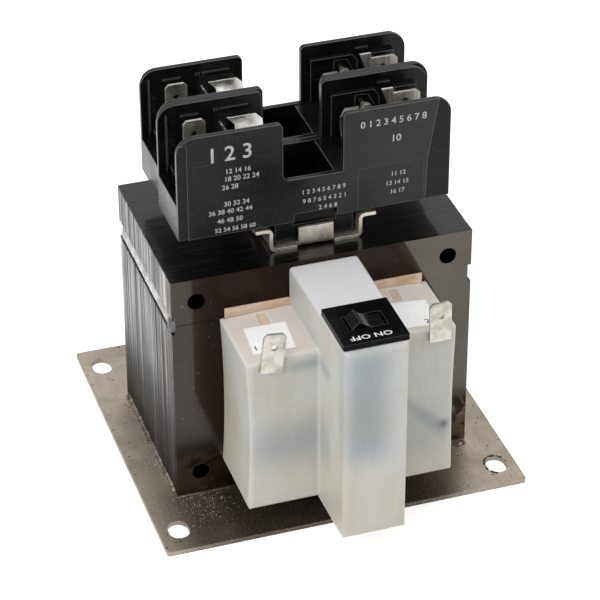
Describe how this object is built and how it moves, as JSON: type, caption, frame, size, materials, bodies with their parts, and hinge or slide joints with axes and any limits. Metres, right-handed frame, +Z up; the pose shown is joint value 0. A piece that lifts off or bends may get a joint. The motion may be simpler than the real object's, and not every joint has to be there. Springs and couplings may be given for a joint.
{
  "type": "electrical control transformer",
  "caption": "Enclosed-panel control transformer: welded laminated core on a slotted foot plate, moulded coil covers with a rocker protector, fuse block on a rail on top.",
  "frame": {"origin": "centre of the foot plate's underside", "axes": "+X to the right along the fuse block, +Y to the back, +Z up"},
  "size_m": [0.1078, 0.1239, 0.1138],
  "materials": {
    "foot_plate_steel": "rolled steel sheet, brown varnish streaks",
    "weld_steel": "raw weld beads under varnish",
    "lamination_steel": "stacked silicon steel sheets, dipped in brown varnish",
    "bobbin_nylon": "moulded, natural",
    "enamelled_copper": "enamelled winding wire, varnished",
    "kraft_insulation": "kraft paper and pressboard, varnished",
    "translucent_polymer": "moulded, milky and translucent",
    "black_gloss_plastic": "moulded, glossy black",
    "dark_body_plastic": "moulded, dark blue-grey",
    "tinned_brass": "tinned, matt",
    "lead_pvc": "PVC insulated lead",
    "label_paper": "white paper",
    "zinc_plated_steel": "zinc plated",
    "phenolic_black": "moulded, satin black",
    "bright_spring_metal": "nickel plated strip"
  },
  "bodies": {
    "transformer": {"base_plate": "foot_plate_steel", "base_welds": "weld_steel", "e_lamination_stack": "lamination_steel", "i_lamination_stack": "lamination_steel", "core_weld_left": "weld_steel", "core_weld_right": "weld_steel", "bobbin": "bobbin_nylon", "primary_winding": "enamelled_copper", "layer_insulation": "kraft_insulation", "secondary_winding": "enamelled_copper", "coil_wrap": "kraft_insulation", "front_pressboard": "kraft_insulation", "rear_pressboard": "kraft_insulation", "front_coil_cover": "translucent_polymer", "rear_coil_cover": "translucent_polymer", "protector_bezel": "black_gloss_plastic", "protector_body": "dark_body_plastic", "protector_terminals": "tinned_brass", "secondary_tab_left": "tinned_brass", "secondary_tab_right": "tinned_brass", "lead_left": "lead_pvc", "lead_right": "lead_pvc", "primary_tabs": "tinned_brass", "label_left": "label_paper", "label_right": "label_paper", "din_rail": "zinc_plated_steel", "rail_tack_welds": "weld_steel", "pole_housing_front": "phenolic_black", "pole_housing_rear": "phenolic_black", "left_terminal_front": "tinned_brass", "left_terminal_rear": "tinned_brass", "right_terminal_front": "tinned_brass", "right_terminal_rear": "tinned_brass", "left_clip_front": "bright_spring_metal", "left_clip_rear": "bright_spring_metal", "right_clip_front": "bright_spring_metal", "right_clip_rear": "bright_spring_metal", "terminal_screws_front": "zinc_plated_steel", "terminal_screws_rear": "zinc_plated_steel", "clip_rivet_front": "zinc_plated_steel", "clip_rivet_rear": "zinc_plated_steel"},
    "rocker": {"protector_rocker": "black_gloss_plastic"}
  },
  "joints": [
    {"name": "rocker_pivot", "type": "hinge", "parent": "transformer", "child": "rocker", "pos_m": [0, -0.0614, 0.0715], "axis": [0, 1, 0], "range_deg": [0, 10]}
  ]
}
